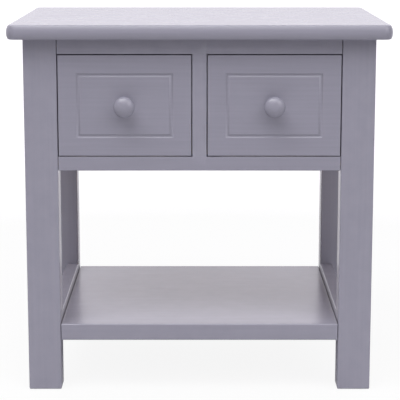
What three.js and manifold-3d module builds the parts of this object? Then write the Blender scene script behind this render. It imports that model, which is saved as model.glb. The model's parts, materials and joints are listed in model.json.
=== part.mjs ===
// A small painted wooden side table: four square legs, an apron with two drawers side by side,
// an open bay, and a lower shelf between the legs. Millimetres, +Z up, the front faces -Y.
// The origin is on the floor, under the middle of the table.

import * as THREE from 'three';
import { mergeVertices } from 'three/addons/utils/BufferGeometryUtils.js';
import Module from 'manifold-3d';

const wasm = await Module();
wasm.setup();

// ---- driving dimensions --------------------------------------------------------------------

const TABLE_WIDTH = 400;
const TABLE_DEPTH = 300;
const TABLE_HEIGHT = 394;

const TOP_THICKNESS = 15;
const TOP_CORNER_RADIUS = 10;
const NOSE_REACH = 9.5;
const NOSE_RISE = 11.5;
const NOSE_WIDEST_HEIGHT = 7;
const OVERHANG = 16;

const LEG_WIDTH = 35;
const LEG_DEPTH = 26;
const ARRIS = 1.5;

const RAIL_THICKNESS = 15;
const RAIL_SETBACK = 0.5;
const APRON_BOTTOM = 240;
const BOTTOM_RAIL_HEIGHT = 15;
const TOP_RAIL_HEIGHT = 16;
const STILE_WIDTH = 15;

const SIDE_PANEL_THICKNESS = 12;
const SIDE_PANEL_SETBACK = 4;
const BACK_PANEL_THICKNESS = 9;
const BACK_PANEL_INSET = 13;

const SHELF_BOTTOM = 55;
const SHELF_THICKNESS = 18;
const SHELF_END_GAP = 0.5;
const LOWER_RAIL_BOTTOM = 46.5;
const LOWER_RAIL_HEIGHT = 35;
const LOWER_RAIL_THICKNESS = 15;

const RUNNER_WIDTH = 18;
const CENTRE_RUNNER_WIDTH = 45;
const GUIDE_HEIGHT = 15;

const DRAWER_FRONT_THICKNESS = 15;
const DRAWER_BOARD = 9;
const DRAWER_BOTTOM_THICKNESS = 3;
const DRAWER_GROOVE_DEPTH = 4;
const DRAWER_GROOVE_HEIGHT = 3.5;
const DRAWER_GROOVE_RISE = 5.75;
const DRAWER_SIDE_HEIGHT = 100;
const DRAWER_BACK_CLEARANCE = 1;
const FRONT_SIDE_GAP = 1;
const FRONT_BOTTOM_GAP = 1;
const FRONT_TOP_GAP = 1;
const BOX_SIDE_GAP = 2.25;
const BOX_LIFT = 0.25;

const PANEL_LINE_MARGIN = 18.9;
const PANEL_LINE_WIDTH = 4.2;
const PANEL_LINE_DEPTH = 0.9;

const KNOB_RADIUS = 11;
const KNOB_LENGTH = 20;

const CLEARANCE = 0.3;
const ROUND_SIDES = 16;

// ---- places worked out from them -----------------------------------------------------------

const LEG_TOP = TABLE_HEIGHT - TOP_THICKNESS;
const LEG_OUTER_X = TABLE_WIDTH / 2 - OVERHANG;
const LEG_INNER_X = LEG_OUTER_X - LEG_WIDTH;
const LEG_OUTER_Y = TABLE_DEPTH / 2 - OVERHANG;
const LEG_INNER_Y = LEG_OUTER_Y - LEG_DEPTH;

const RAIL_FRONT_Y = -LEG_OUTER_Y + RAIL_SETBACK;
const RAIL_BACK_Y = RAIL_FRONT_Y + RAIL_THICKNESS;
const RAIL_MIDDLE_Y = (RAIL_FRONT_Y + RAIL_BACK_Y) / 2;
const OPENING_BOTTOM = APRON_BOTTOM + BOTTOM_RAIL_HEIGHT;
const OPENING_TOP = LEG_TOP - TOP_RAIL_HEIGHT;
const BACK_PANEL_Y = LEG_OUTER_Y - BACK_PANEL_INSET - BACK_PANEL_THICKNESS;
const SIDE_PANEL_X = LEG_OUTER_X - SIDE_PANEL_SETBACK - SIDE_PANEL_THICKNESS;
const SHELF_TOP = SHELF_BOTTOM + SHELF_THICKNESS;

// ---- materials -----------------------------------------------------------------------------

const paint = new THREE.MeshStandardMaterial({ color: 0x918f9d, roughness: 0.35, metalness: 0 });
const bareWood = new THREE.MeshStandardMaterial({ color: 0xc9ad82, roughness: 0.7, metalness: 0 });
const plywood = new THREE.MeshStandardMaterial({ color: 0xd8c29a, roughness: 0.65, metalness: 0 });
const zinc = new THREE.MeshStandardMaterial({ color: 0xb4b6ba, roughness: 0.35, metalness: 1 });

// ---- helpers -------------------------------------------------------------------------------

function toSolid(geometry) {
  const bare = geometry.clone();
  bare.deleteAttribute('normal');
  bare.deleteAttribute('uv');
  const merged = mergeVertices(bare);
  const vertProperties = new Float32Array(merged.attributes.position.array);
  const triVerts = new Uint32Array(merged.index.array);
  return new wasm.Manifold(new wasm.Mesh({ numProp: 3, vertProperties, triVerts }));
}

function toGeometry(solid) {
  const cutMesh = solid.getMesh();
  const geometry = new THREE.BufferGeometry();
  geometry.setAttribute('position', new THREE.BufferAttribute(cutMesh.vertProperties, 3));
  geometry.setIndex(new THREE.BufferAttribute(cutMesh.triVerts, 1));
  geometry.computeVertexNormals();
  return geometry;
}

function cut(geometry, cutters) {
  let solid = toSolid(geometry);
  for (const cutter of cutters) {
    solid = solid.subtract(toSolid(cutter));
  }
  return toGeometry(solid);
}

// A square-edged board between two limits on each axis.
function block(x0, x1, y0, y1, z0, z1) {
  const geometry = new THREE.BoxGeometry(x1 - x0, y1 - y0, z1 - z0);
  geometry.translate((x0 + x1) / 2, (y0 + y1) / 2, (z0 + z1) / 2);
  return geometry;
}

// A rectangle with rounded corners, centred on the origin.
function roundedRectangle(width, depth, radius) {
  const x = width / 2;
  const y = depth / 2;
  const shape = new THREE.Shape();
  shape.moveTo(x - radius, -y);
  shape.absarc(x - radius, -y + radius, radius, -Math.PI / 2, 0);
  shape.absarc(x - radius, y - radius, radius, 0, Math.PI / 2);
  shape.absarc(-x + radius, y - radius, radius, Math.PI / 2, Math.PI);
  shape.absarc(-x + radius, -y + radius, radius, Math.PI, Math.PI * 1.5);
  return shape;
}

// A round solid turned from a profile of [radius, height] points, its axis along +Z.
function turned(profile, sides = ROUND_SIDES) {
  const points = profile.map(([radius, height]) => new THREE.Vector2(radius, height));
  const geometry = new THREE.LatheGeometry(points, sides);
  geometry.rotateX(Math.PI / 2);
  return geometry;
}

function rod(radius, length) {
  return turned([[0, 0], [radius, 0], [radius, length], [0, length]]);
}

// The same, laid along X or Y. A rod starts at its given end and runs in the positive direction.
function rodX(radius, x0, x1, y, z) {
  return rod(radius, x1 - x0).rotateY(Math.PI / 2).translate(x0, y, z);
}

function rodY(radius, y0, y1, x, z) {
  return rod(radius, y1 - y0).rotateX(-Math.PI / 2).translate(x, y0, z);
}

function rodZ(radius, z0, z1, x, y) {
  return rod(radius, z1 - z0).translate(x, y, z0);
}

const table = new THREE.Group();

function piece(name, geometry, material, parent = table) {
  const mesh = new THREE.Mesh(geometry, material);
  mesh.name = name;
  parent.add(mesh);
  return mesh;
}

const SIDES = [['left', -1], ['right', 1]];
const ENDS = [['front', -1], ['rear', 1]];

// Lays a stretch that starts at the middle out on either side of it.
function mirrored(side, near, far) {
  return side > 0 ? [near, far] : [-far, -near];
}

// ---- dowels and their holes ----------------------------------------------------------------

const DOWEL_RADIUS = 4;
const DOWEL_HALF = 15;
const THIN_DOWEL_RADIUS = 3;
const THIN_DOWEL_HALF = 10;
const LOWER_DOWEL_IN_LEG = 12;
const LOWER_DOWEL_IN_RAIL = 18;

const BOTTOM_RAIL_MIDDLE_Z = APRON_BOTTOM + BOTTOM_RAIL_HEIGHT / 2;
const TOP_RAIL_MIDDLE_Z = LEG_TOP - TOP_RAIL_HEIGHT / 2;
const LOWER_RAIL_MIDDLE_X = LEG_INNER_X + LOWER_RAIL_THICKNESS / 2;
const LOWER_RAIL_MIDDLE_Z = LOWER_RAIL_BOTTOM + LOWER_RAIL_HEIGHT / 2;
const FRONT_RAILS = [['bottom', BOTTOM_RAIL_MIDDLE_Z], ['top', TOP_RAIL_MIDDLE_Z]];

function frontDowel(side, z, slack) {
  const reach = DOWEL_HALF + slack;
  const [x0, x1] = mirrored(side, LEG_INNER_X - reach, LEG_INNER_X + reach);
  return rodX(DOWEL_RADIUS + slack, x0, x1, RAIL_MIDDLE_Y, z);
}

function lowerDowel(side, end, slack) {
  const inner = LEG_INNER_Y - LOWER_DOWEL_IN_RAIL - slack;
  const outer = LEG_INNER_Y + LOWER_DOWEL_IN_LEG + slack;
  const [y0, y1] = mirrored(end, inner, outer);
  return rodY(DOWEL_RADIUS + slack, y0, y1, side * LOWER_RAIL_MIDDLE_X, LOWER_RAIL_MIDDLE_Z);
}

function stileDowel(z, slack) {
  const reach = THIN_DOWEL_HALF + slack;
  return rodZ(THIN_DOWEL_RADIUS + slack, z - reach, z + reach, 0, RAIL_MIDDLE_Y);
}

// ---- tabletop ------------------------------------------------------------------------------

const TOP_SCREW_X = 140;
const TOP_SCREW_Y = 80;
const TOP_SCREW_LENGTH = 25;
const TOP_SCREW_RADIUS = 2;
const TOP_SCREW_HEAD_RADIUS = 4;
const TOP_SCREW_HEAD_HEIGHT = 3;
const TOP_SCREW_SINK = 0.5;

// A slab thicker than the top, fully rounded along its edge.
function bullnosedSlab() {
  const flat = 0.2;
  const outline = roundedRectangle(
    TABLE_WIDTH - 2 * NOSE_REACH, TABLE_DEPTH - 2 * NOSE_REACH, TOP_CORNER_RADIUS - NOSE_REACH,
  );
  const geometry = new THREE.ExtrudeGeometry(outline, {
    depth: flat,
    bevelThickness: NOSE_RISE,
    bevelSize: NOSE_REACH,
    bevelSegments: 8,
    curveSegments: 5,
  });
  return geometry.translate(0, 0, LEG_TOP + NOSE_WIDEST_HEIGHT - flat / 2);
}

// A countersunk wood screw standing head down, grown all over by the slack that its hole needs.
function topScrew(slack) {
  const head = TOP_SCREW_HEAD_RADIUS + slack;
  const shank = TOP_SCREW_RADIUS + slack;
  const tip = TOP_SCREW_LENGTH + slack;
  return turned([
    [0, -slack],
    [head, -slack],
    [shank, TOP_SCREW_HEAD_HEIGHT],
    [shank, tip - 4],
    [0, tip],
  ]);
}

function topScrewAt(sideX, sideY, slack) {
  const z = OPENING_TOP + TOP_SCREW_SINK;
  return topScrew(slack).translate(sideX * TOP_SCREW_X, sideY * TOP_SCREW_Y, z);
}

// The mouth of a countersunk hole, so that the head can go in.
function screwMouth(sideX, sideY) {
  const z = OPENING_TOP;
  return rodZ(
    TOP_SCREW_HEAD_RADIUS + CLEARANCE,
    z - 1,
    z + TOP_SCREW_SINK,
    sideX * TOP_SCREW_X,
    sideY * TOP_SCREW_Y,
  );
}

// The top is planed from that slab, which leaves a nose that is widest a little below its middle.
function makeTabletop() {
  const planed = block(-TABLE_WIDTH, TABLE_WIDTH, -TABLE_DEPTH, TABLE_DEPTH, LEG_TOP, TABLE_HEIGHT);
  let solid = toSolid(bullnosedSlab()).intersect(toSolid(planed));
  for (const [, sideX] of SIDES) {
    for (const [, sideY] of ENDS) {
      solid = solid.subtract(toSolid(topScrewAt(sideX, sideY, CLEARANCE)));
    }
  }
  piece('tabletop', toGeometry(solid), paint);
}

function makeTopScrews() {
  for (const [sideName, sideX] of SIDES) {
    for (const [endName, sideY] of ENDS) {
      piece(`tabletop_screw_${endName}_${sideName}`, topScrewAt(sideX, sideY, 0), zinc);
    }
  }
}

// ---- legs ----------------------------------------------------------------------------------

function makeLegs() {
  for (const [endName, end] of ENDS) {
    for (const [sideName, side] of SIDES) {
      const outline = roundedRectangle(LEG_WIDTH, LEG_DEPTH, ARRIS);
      const stock = new THREE.ExtrudeGeometry(outline, {
        depth: LEG_TOP,
        bevelEnabled: false,
        curveSegments: 3,
      });
      const x = side * (LEG_OUTER_X - LEG_WIDTH / 2);
      const y = end * (LEG_OUTER_Y - LEG_DEPTH / 2);
      stock.translate(x, y, 0);
      const holes = [lowerDowel(side, end, CLEARANCE)];
      if (end < 0) {
        for (const [, z] of FRONT_RAILS) {
          holes.push(frontDowel(side, z, CLEARANCE));
        }
      }
      piece(`${endName}_${sideName}_leg`, cut(stock, holes), paint);
    }
  }
}

// ---- the apron's front: two rails and the stile between the drawers ---------------------------

function makeFrontFrame() {
  const railZ = { bottom: [APRON_BOTTOM, OPENING_BOTTOM], top: [OPENING_TOP, LEG_TOP] };
  const stileHole = { bottom: OPENING_BOTTOM, top: OPENING_TOP };
  for (const [name, middleZ] of FRONT_RAILS) {
    const [z0, z1] = railZ[name];
    const stock = block(-LEG_INNER_X, LEG_INNER_X, RAIL_FRONT_Y, RAIL_BACK_Y, z0, z1);
    const holes = [stileDowel(stileHole[name], CLEARANCE)];
    for (const [, side] of SIDES) {
      holes.push(frontDowel(side, middleZ, CLEARANCE));
    }
    piece(`front_${name}_rail`, cut(stock, holes), paint);
    piece(`stile_${name}_dowel`, stileDowel(stileHole[name], 0), bareWood);
    for (const [sideName, side] of SIDES) {
      piece(`front_${name}_rail_${sideName}_dowel`, frontDowel(side, middleZ, 0), bareWood);
    }
  }
  const half = STILE_WIDTH / 2;
  const stile = block(-half, half, RAIL_FRONT_Y, RAIL_BACK_Y, OPENING_BOTTOM, OPENING_TOP);
  const stileHoles = [stileDowel(OPENING_BOTTOM, CLEARANCE), stileDowel(OPENING_TOP, CLEARANCE)];
  piece('centre_stile', cut(stile, stileHoles), paint);
}

// ---- the apron's sides and back -----------------------------------------------------------------

function makePanels() {
  for (const [name, side] of SIDES) {
    const [x0, x1] = mirrored(side, SIDE_PANEL_X, SIDE_PANEL_X + SIDE_PANEL_THICKNESS);
    const panel = block(x0, x1, -LEG_INNER_Y, LEG_INNER_Y, APRON_BOTTOM, LEG_TOP);
    piece(`${name}_side_panel`, panel, paint);
  }
  const y1 = BACK_PANEL_Y + BACK_PANEL_THICKNESS;
  const back = block(-LEG_INNER_X, LEG_INNER_X, BACK_PANEL_Y, y1, APRON_BOTTOM, LEG_TOP);
  piece('back_panel', back, paint);
}

// ---- runners below the drawers, guides beside them, kickers above them --------------------------

function makeDrawerWork() {
  const y0 = RAIL_BACK_Y;
  const y1 = BACK_PANEL_Y;
  const half = CENTRE_RUNNER_WIDTH / 2;
  const guideHalf = STILE_WIDTH / 2;
  const guideTop = OPENING_BOTTOM + GUIDE_HEIGHT;
  piece('centre_runner', block(-half, half, y0, y1, APRON_BOTTOM, OPENING_BOTTOM), bareWood);
  piece('centre_kicker', block(-half, half, y0, y1, OPENING_TOP, LEG_TOP), bareWood);
  piece('centre_guide', block(-guideHalf, guideHalf, y0, y1, OPENING_BOTTOM, guideTop), bareWood);
  for (const [name, side] of SIDES) {
    const [x0, x1] = mirrored(side, LEG_INNER_X - RUNNER_WIDTH, LEG_INNER_X);
    piece(`${name}_runner`, block(x0, x1, y0, y1, APRON_BOTTOM, OPENING_BOTTOM), bareWood);
    const holes = ENDS.flatMap(([, end]) => [
      topScrewAt(side, end, CLEARANCE),
      screwMouth(side, end),
    ]);
    const kicker = cut(block(x0, x1, y0, y1, OPENING_TOP, LEG_TOP), holes);
    piece(`${name}_kicker`, kicker, bareWood);
    const [g0, g1] = mirrored(side, LEG_INNER_X, SIDE_PANEL_X);
    const guide = block(g0, g1, -LEG_INNER_Y, LEG_INNER_Y, APRON_BOTTOM, guideTop);
    piece(`${name}_guide`, guide, bareWood);
  }
}

// ---- the lower shelf, its rails, and the cam fittings that pull them together ---------------------

const FITTING_Y = 70;
const CAM_RADIUS = 7.5;
const CAM_HEIGHT = 12.5;
const CAM_FROM_END = 24;
const CAM_BOLT_RADIUS = 3;
const CAM_BOLT_HEAD_RADIUS = 3.5;
const CAM_BOLT_HEAD_LENGTH = 3;
const CAM_BOLT_IN_RAIL = 11;
const CAM_BOLT_Z = SHELF_BOTTOM + 9;
const CAM_X = LEG_INNER_X - SHELF_END_GAP - CAM_FROM_END;
const CAM_BOLT_START_X = CAM_X + 2;
const CAM_BOLT_END_X = LEG_INNER_X + CAM_BOLT_IN_RAIL;

function cam(side, end, slack) {
  const z1 = SHELF_BOTTOM + CAM_HEIGHT + slack;
  const z0 = SHELF_BOTTOM - slack;
  return rodZ(CAM_RADIUS + slack, z0, z1, side * CAM_X, end * FITTING_Y);
}

// The bolt's plain shank, or the hole that it goes through.
function camShank(side, end, slack) {
  const near = CAM_BOLT_START_X + CAM_BOLT_HEAD_LENGTH - slack;
  const [x0, x1] = mirrored(side, near, CAM_BOLT_END_X + slack);
  return rodX(CAM_BOLT_RADIUS + slack, x0, x1, end * FITTING_Y, CAM_BOLT_Z);
}

// A round bolt with a thicker head at the end that the cam grips.
function camBolt(side, end) {
  const length = CAM_BOLT_END_X - CAM_BOLT_START_X;
  const bolt = turned([
    [0, 0],
    [CAM_BOLT_HEAD_RADIUS, 0],
    [CAM_BOLT_HEAD_RADIUS, CAM_BOLT_HEAD_LENGTH],
    [CAM_BOLT_RADIUS, CAM_BOLT_HEAD_LENGTH],
    [CAM_BOLT_RADIUS, length],
    [0, length],
  ]);
  bolt.rotateY(side * Math.PI / 2);
  return bolt.translate(side * CAM_BOLT_START_X, end * FITTING_Y, CAM_BOLT_Z);
}

// The pocket in a cam's flank that takes the bolt's head.
function camPocket(side, end) {
  const [x0, x1] = mirrored(side, CAM_BOLT_START_X - CLEARANCE, CAM_X + CAM_RADIUS + 1);
  return rodX(CAM_BOLT_HEAD_RADIUS + CLEARANCE, x0, x1, end * FITTING_Y, CAM_BOLT_Z);
}

function makeShelf() {
  const shelfHoles = [];
  for (const [sideName, side] of SIDES) {
    const railHoles = [];
    for (const [endName, end] of ENDS) {
      shelfHoles.push(cam(side, end, CLEARANCE), camShank(side, end, CLEARANCE));
      railHoles.push(camShank(side, end, CLEARANCE), lowerDowel(side, end, CLEARANCE));
      const place = `${endName}_${sideName}`;
      piece(`shelf_cam_${place}`, cut(cam(side, end, 0), [camPocket(side, end)]), zinc);
      piece(`shelf_cam_bolt_${place}`, camBolt(side, end), zinc);
      piece(`lower_rail_dowel_${place}`, lowerDowel(side, end, 0), bareWood);
    }
    const [x0, x1] = mirrored(side, LEG_INNER_X, LEG_INNER_X + LOWER_RAIL_THICKNESS);
    const railTop = LOWER_RAIL_BOTTOM + LOWER_RAIL_HEIGHT;
    const rail = block(x0, x1, -LEG_INNER_Y, LEG_INNER_Y, LOWER_RAIL_BOTTOM, railTop);
    piece(`${sideName}_lower_rail`, cut(rail, railHoles), paint);
  }
  const half = LEG_INNER_X - SHELF_END_GAP;
  const stock = block(-half, half, -LEG_OUTER_Y, LEG_OUTER_Y, SHELF_BOTTOM, SHELF_TOP);
  piece('lower_shelf', cut(stock, shelfHoles), paint);
}

// ---- drawers ---------------------------------------------------------------------------------

const OPENING_WIDTH = LEG_INNER_X - STILE_WIDTH / 2;
const DRAWER_CENTRE_X = (LEG_INNER_X + STILE_WIDTH / 2) / 2;
const FRONT_HALF_WIDTH = OPENING_WIDTH / 2 - FRONT_SIDE_GAP;
const FRONT_BOTTOM = OPENING_BOTTOM + FRONT_BOTTOM_GAP;
const FRONT_TOP = OPENING_TOP - FRONT_TOP_GAP;
const FRONT_FACE_Y = -LEG_OUTER_Y;
const FRONT_INNER_Y = FRONT_FACE_Y + DRAWER_FRONT_THICKNESS;
const BOX_HALF_WIDTH = OPENING_WIDTH / 2 - BOX_SIDE_GAP;
const BOX_BOTTOM = OPENING_BOTTOM + BOX_LIFT;
const BOX_TOP = BOX_BOTTOM + DRAWER_SIDE_HEIGHT;
const BOX_BACK_Y = BACK_PANEL_Y - DRAWER_BACK_CLEARANCE;
const GROOVE_BOTTOM = BOX_BOTTOM + DRAWER_GROOVE_RISE;
const GROOVE_TOP = GROOVE_BOTTOM + DRAWER_GROOVE_HEIGHT;
const KNOB_Z = (FRONT_BOTTOM + FRONT_TOP) / 2;

const KNOB_SCREW_RADIUS = 2;
const KNOB_SCREW_LENGTH = 24;
const KNOB_SCREW_HEAD_RADIUS = 4;
const KNOB_SCREW_HEAD_HEIGHT = 2.5;
const SLAB_FLAT = 1;

// A rectangular slab standing in the drawer front's plane, centred on the knob. It starts at
// startY and grows forwards, towards -Y. Both its faces slope outwards by the spread over the rise.
function slopedSlab(halfWidth, halfHeight, rise, spread, startY) {
  const outline = new THREE.Shape();
  outline.moveTo(-halfWidth, -halfHeight);
  outline.lineTo(halfWidth, -halfHeight);
  outline.lineTo(halfWidth, halfHeight);
  outline.lineTo(-halfWidth, halfHeight);
  const geometry = new THREE.ExtrudeGeometry(outline, {
    depth: SLAB_FLAT,
    bevelThickness: rise,
    bevelSize: spread,
    bevelSegments: 1,
  });
  geometry.translate(0, 0, rise);
  return geometry.rotateX(Math.PI / 2).translate(0, startY, KNOB_Z);
}

// The mitred V line round a drawer front. One slab has the line's outer slope as its face, and
// what it holds inside the line's inner slope is taken away again, so a V-shaped ring is left.
function panelLine() {
  const proud = 1;
  const rise = PANEL_LINE_DEPTH + proud;
  const spread = rise * PANEL_LINE_WIDTH / 2 / PANEL_LINE_DEPTH;
  const lineBottomY = FRONT_FACE_Y + PANEL_LINE_DEPTH;
  const bottomInset = PANEL_LINE_MARGIN + PANEL_LINE_WIDTH / 2;
  const halfX = FRONT_HALF_WIDTH - bottomInset;
  const halfZ = (FRONT_TOP - FRONT_BOTTOM) / 2 - bottomInset;
  const outer = slopedSlab(halfX, halfZ, rise, spread, lineBottomY);
  const innerStartY = lineBottomY + rise + SLAB_FLAT;
  const inner = slopedSlab(halfX - spread, halfZ - spread, rise, spread, innerStartY);
  return toGeometry(toSolid(outer).subtract(toSolid(inner)));
}

// A mushroom knob on a slim neck, with a blind hole up its middle, its foot at height 0.
function knob() {
  const hole = KNOB_SCREW_RADIUS + CLEARANCE;
  const holeDepth = KNOB_SCREW_LENGTH - DRAWER_FRONT_THICKNESS + 1;
  return turned([
    [0, holeDepth],
    [hole, holeDepth],
    [hole, 0],
    [6.5, 0],
    [6.5, 1],
    [5.25, 2.5],
    [5.25, 4.5],
    [7, 6],
    [9.25, 7.9],
    [10.6, 10.5],
    [KNOB_RADIUS, 13.5],
    [10.3, 15.8],
    [8.6, 17.6],
    [6.2, 18.9],
    [3.2, 19.7],
    [0, KNOB_LENGTH],
  ], 32);
}

// A pan-head machine screw, its head at height 0 and its shank upwards.
function knobScrew() {
  return turned([
    [0, -KNOB_SCREW_HEAD_HEIGHT],
    [2.5, -KNOB_SCREW_HEAD_HEIGHT],
    [KNOB_SCREW_HEAD_RADIUS, -1.25],
    [KNOB_SCREW_HEAD_RADIUS, 0],
    [KNOB_SCREW_RADIUS, 0],
    [KNOB_SCREW_RADIUS, KNOB_SCREW_LENGTH],
    [0, KNOB_SCREW_LENGTH],
  ]);
}

function makeDrawer(name, side) {
  const drawer = new THREE.Group();
  drawer.position.x = side * DRAWER_CENTRE_X;
  table.add(drawer);

  const screwHole = rodY(
    KNOB_SCREW_RADIUS + CLEARANCE, FRONT_FACE_Y - 1, FRONT_INNER_Y + 1, 0, KNOB_Z,
  );
  const frontStock = block(
    -FRONT_HALF_WIDTH, FRONT_HALF_WIDTH, FRONT_FACE_Y, FRONT_INNER_Y, FRONT_BOTTOM, FRONT_TOP,
  );
  piece(`${name}_front`, cut(frontStock, [panelLine(), screwHole]), paint, drawer);

  const inner = BOX_HALF_WIDTH - DRAWER_BOARD;
  const slot = block(
    -inner - DRAWER_GROOVE_DEPTH, inner + DRAWER_GROOVE_DEPTH,
    FRONT_INNER_Y - 1, BOX_BACK_Y + 1, GROOVE_BOTTOM, GROOVE_TOP,
  );
  for (const [sideName, edge] of SIDES) {
    const [x0, x1] = mirrored(edge, inner, BOX_HALF_WIDTH);
    const board = block(x0, x1, FRONT_INNER_Y, BOX_BACK_Y, BOX_BOTTOM, BOX_TOP);
    piece(`${name}_${sideName}_side`, cut(board, [slot]), bareWood, drawer);
  }

  const back = block(
    -inner, inner, BOX_BACK_Y - DRAWER_BOARD, BOX_BACK_Y, GROOVE_TOP, BOX_TOP,
  );
  piece(`${name}_back`, back, bareWood, drawer);

  const bottomHalf = inner + DRAWER_GROOVE_DEPTH - 0.25;
  const bottomZ = GROOVE_BOTTOM + 0.25;
  const bottom = block(
    -bottomHalf, bottomHalf, FRONT_INNER_Y, BOX_BACK_Y, bottomZ, bottomZ + DRAWER_BOTTOM_THICKNESS,
  );
  piece(`${name}_bottom`, bottom, plywood, drawer);

  const knobMesh = piece(`${name}_knob`, knob(), paint, drawer);
  knobMesh.rotation.x = Math.PI / 2;
  knobMesh.position.set(0, FRONT_FACE_Y, KNOB_Z);

  const screwMesh = piece(`${name}_knob_screw`, knobScrew(), zinc, drawer);
  screwMesh.rotation.x = Math.PI / 2;
  screwMesh.position.set(0, FRONT_INNER_Y, KNOB_Z);
}

// ---- the whole table ---------------------------------------------------------------------------

makeTabletop();
makeTopScrews();
makeLegs();
makeFrontFrame();
makePanels();
makeDrawerWork();
makeShelf();
for (const [sideName, side] of SIDES) {
  makeDrawer(`${sideName}_drawer`, side);
}

export default table;
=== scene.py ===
# %% [markdown]
# # A painted side table with two drawers
#
# This lesson builds a small wooden side table the way a joiner would: board by board. A packed
# CAD model says how big every board is and where it goes. Each step takes one board or fitting
# from that frame, shapes it again with bmesh operators so that its edges are really rounded, and
# gives it a procedural finish. The drawers ride on their own bodies, so they can be pulled out.

# %% Load the frame
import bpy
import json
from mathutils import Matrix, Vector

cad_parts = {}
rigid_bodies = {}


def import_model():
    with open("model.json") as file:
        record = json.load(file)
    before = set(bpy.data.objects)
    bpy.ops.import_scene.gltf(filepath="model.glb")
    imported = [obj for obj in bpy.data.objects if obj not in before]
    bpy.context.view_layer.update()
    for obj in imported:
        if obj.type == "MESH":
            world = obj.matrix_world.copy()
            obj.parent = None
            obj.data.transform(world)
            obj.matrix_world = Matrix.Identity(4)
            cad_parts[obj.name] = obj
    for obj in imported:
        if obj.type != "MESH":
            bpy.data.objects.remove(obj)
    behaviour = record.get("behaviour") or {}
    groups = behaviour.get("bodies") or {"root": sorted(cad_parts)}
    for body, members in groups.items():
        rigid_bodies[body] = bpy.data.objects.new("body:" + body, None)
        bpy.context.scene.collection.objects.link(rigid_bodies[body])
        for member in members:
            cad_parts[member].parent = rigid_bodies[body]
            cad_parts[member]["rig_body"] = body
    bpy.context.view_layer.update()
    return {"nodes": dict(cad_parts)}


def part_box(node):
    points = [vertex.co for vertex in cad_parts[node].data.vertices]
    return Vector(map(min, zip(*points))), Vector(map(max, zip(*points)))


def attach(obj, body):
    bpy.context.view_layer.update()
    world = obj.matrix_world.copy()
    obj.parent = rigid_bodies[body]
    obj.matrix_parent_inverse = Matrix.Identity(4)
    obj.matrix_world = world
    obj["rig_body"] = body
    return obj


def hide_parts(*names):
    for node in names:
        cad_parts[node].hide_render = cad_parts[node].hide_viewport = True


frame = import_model()

# %% [markdown]
# ## Units and names
#
# Blender works in metres and a joiner in millimetres, so every size below is written in
# millimetres and multiplied by `MM`. Left and right are as seen from the front.

# %% Units and names
import json
import math
from collections import namedtuple

import bmesh
import bpy
from mathutils import Matrix, Vector

MM = 0.001
SIDES = ("left", "right")
ENDS = ("front", "rear")
Finish = namedtuple("Finish", "material slot")


def colour(red, green, blue):
    """A display colour from 0 to 255 as the linear colour that a shader socket takes."""
    linear = []
    for value in (red, green, blue):
        level = value / 255
        linear.append(level / 12.92 if level <= 0.04045 else ((level + 0.055) / 1.055) ** 2.4)
    return (*linear, 1.0)


# %% [markdown]
# ## Building node trees
#
# A material is a small machine of nodes. `put` adds one node, sets its properties, and fills or
# links its inputs in one go, which keeps the recipes below short enough to read.

# %% Node helpers
def put(tree, kind, inputs=None, **settings):
    """Adds a node. An input is given a plain value, or is linked where the value is a socket."""
    node = tree.nodes.new(kind)
    for key, value in settings.items():
        setattr(node, key, value)
    for key, value in (inputs or {}).items():
        if isinstance(value, bpy.types.NodeSocket):
            tree.links.new(value, node.inputs[key])
        else:
            node.inputs[key].default_value = value
    return node


def new_group(name, inputs, outputs):
    """An empty shader group with named sockets, and its two end nodes."""
    group = bpy.data.node_groups.new(name, "ShaderNodeTree")
    kinds = {"vector": "NodeSocketVector", "value": "NodeSocketFloat"}
    for label, kind, default in inputs:
        socket = group.interface.new_socket(label, in_out="INPUT", socket_type=kinds[kind])
        if default is not None:
            socket.default_value = default
    for label, kind in outputs:
        group.interface.new_socket(label, in_out="OUTPUT", socket_type=kinds[kind])
    return group, group.nodes.new("NodeGroupInput"), group.nodes.new("NodeGroupOutput")


def noise(tree, vector, scale, detail=2.0, roughness=0.5):
    """The value of a noise texture, from 0 to 1."""
    settings = {"Vector": vector, "Scale": scale, "Detail": detail, "Roughness": roughness}
    return put(tree, "ShaderNodeTexNoise", settings).outputs["Fac"]


def maths(tree, operation, first, second):
    """One sum on two values."""
    return put(tree, "ShaderNodeMath", {0: first, 1: second}, operation=operation).outputs[0]


def remap(tree, value, low, high, to_low, to_high):
    """Stretches a value's range, and holds it at the ends."""
    inputs = {
        "Value": value, "From Min": low, "From Max": high, "To Min": to_low, "To Max": to_high,
    }
    return put(tree, "ShaderNodeMapRange", inputs).outputs["Result"]


def blend_colours(tree, share, first, second, blend_type="MIX"):
    """Mixes two colours by a share from 0 to 1."""
    inputs = {0: share, 6: first, 7: second}
    mix = put(tree, "ShaderNodeMix", inputs, data_type="RGBA", blend_type=blend_type)
    return mix.outputs[2]


def new_material(name):
    """A material with nothing but its Principled shader, and a node for Object coordinates."""
    material = bpy.data.materials.new(name)
    material.use_nodes = True
    tree = material.node_tree
    shader = tree.nodes["Principled BSDF"]
    place = put(tree, "ShaderNodeTexCoord").outputs["Object"]
    return material, tree, shader, place


def add_bump(tree, shader, height, strength, distance):
    """Sends a height through a Bump node to the shader's normal."""
    inputs = {"Height": height, "Strength": strength, "Distance": distance}
    bump = put(tree, "ShaderNodeBump", inputs)
    tree.links.new(bump.outputs["Normal"], shader.inputs["Normal"])


# %% [markdown]
# ## The skin of sprayed paint
#
# Satin paint on wood is never a perfect mirror. It has the fine dimples that painters call orange
# peel, long soft waves where the filler was sanded, and slow drifts of tone, and a trace of the
# grain below still telegraphs through as faint streaks along the board. All of it could be painted
# into images, but a group of noise textures has no seams, needs no unwrapping, and can be shared.
# The streaks expect the grain along X, so the group takes a second, turned vector for them.

# %% Paint skin group
PEEL_SCALE = 520.0
WAVE_SCALE = 26.0
TONE_SCALE = 7.0
STREAK_SCALE = 330.0
STREAK_STRETCH = (0.025, 1, 1)


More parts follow.
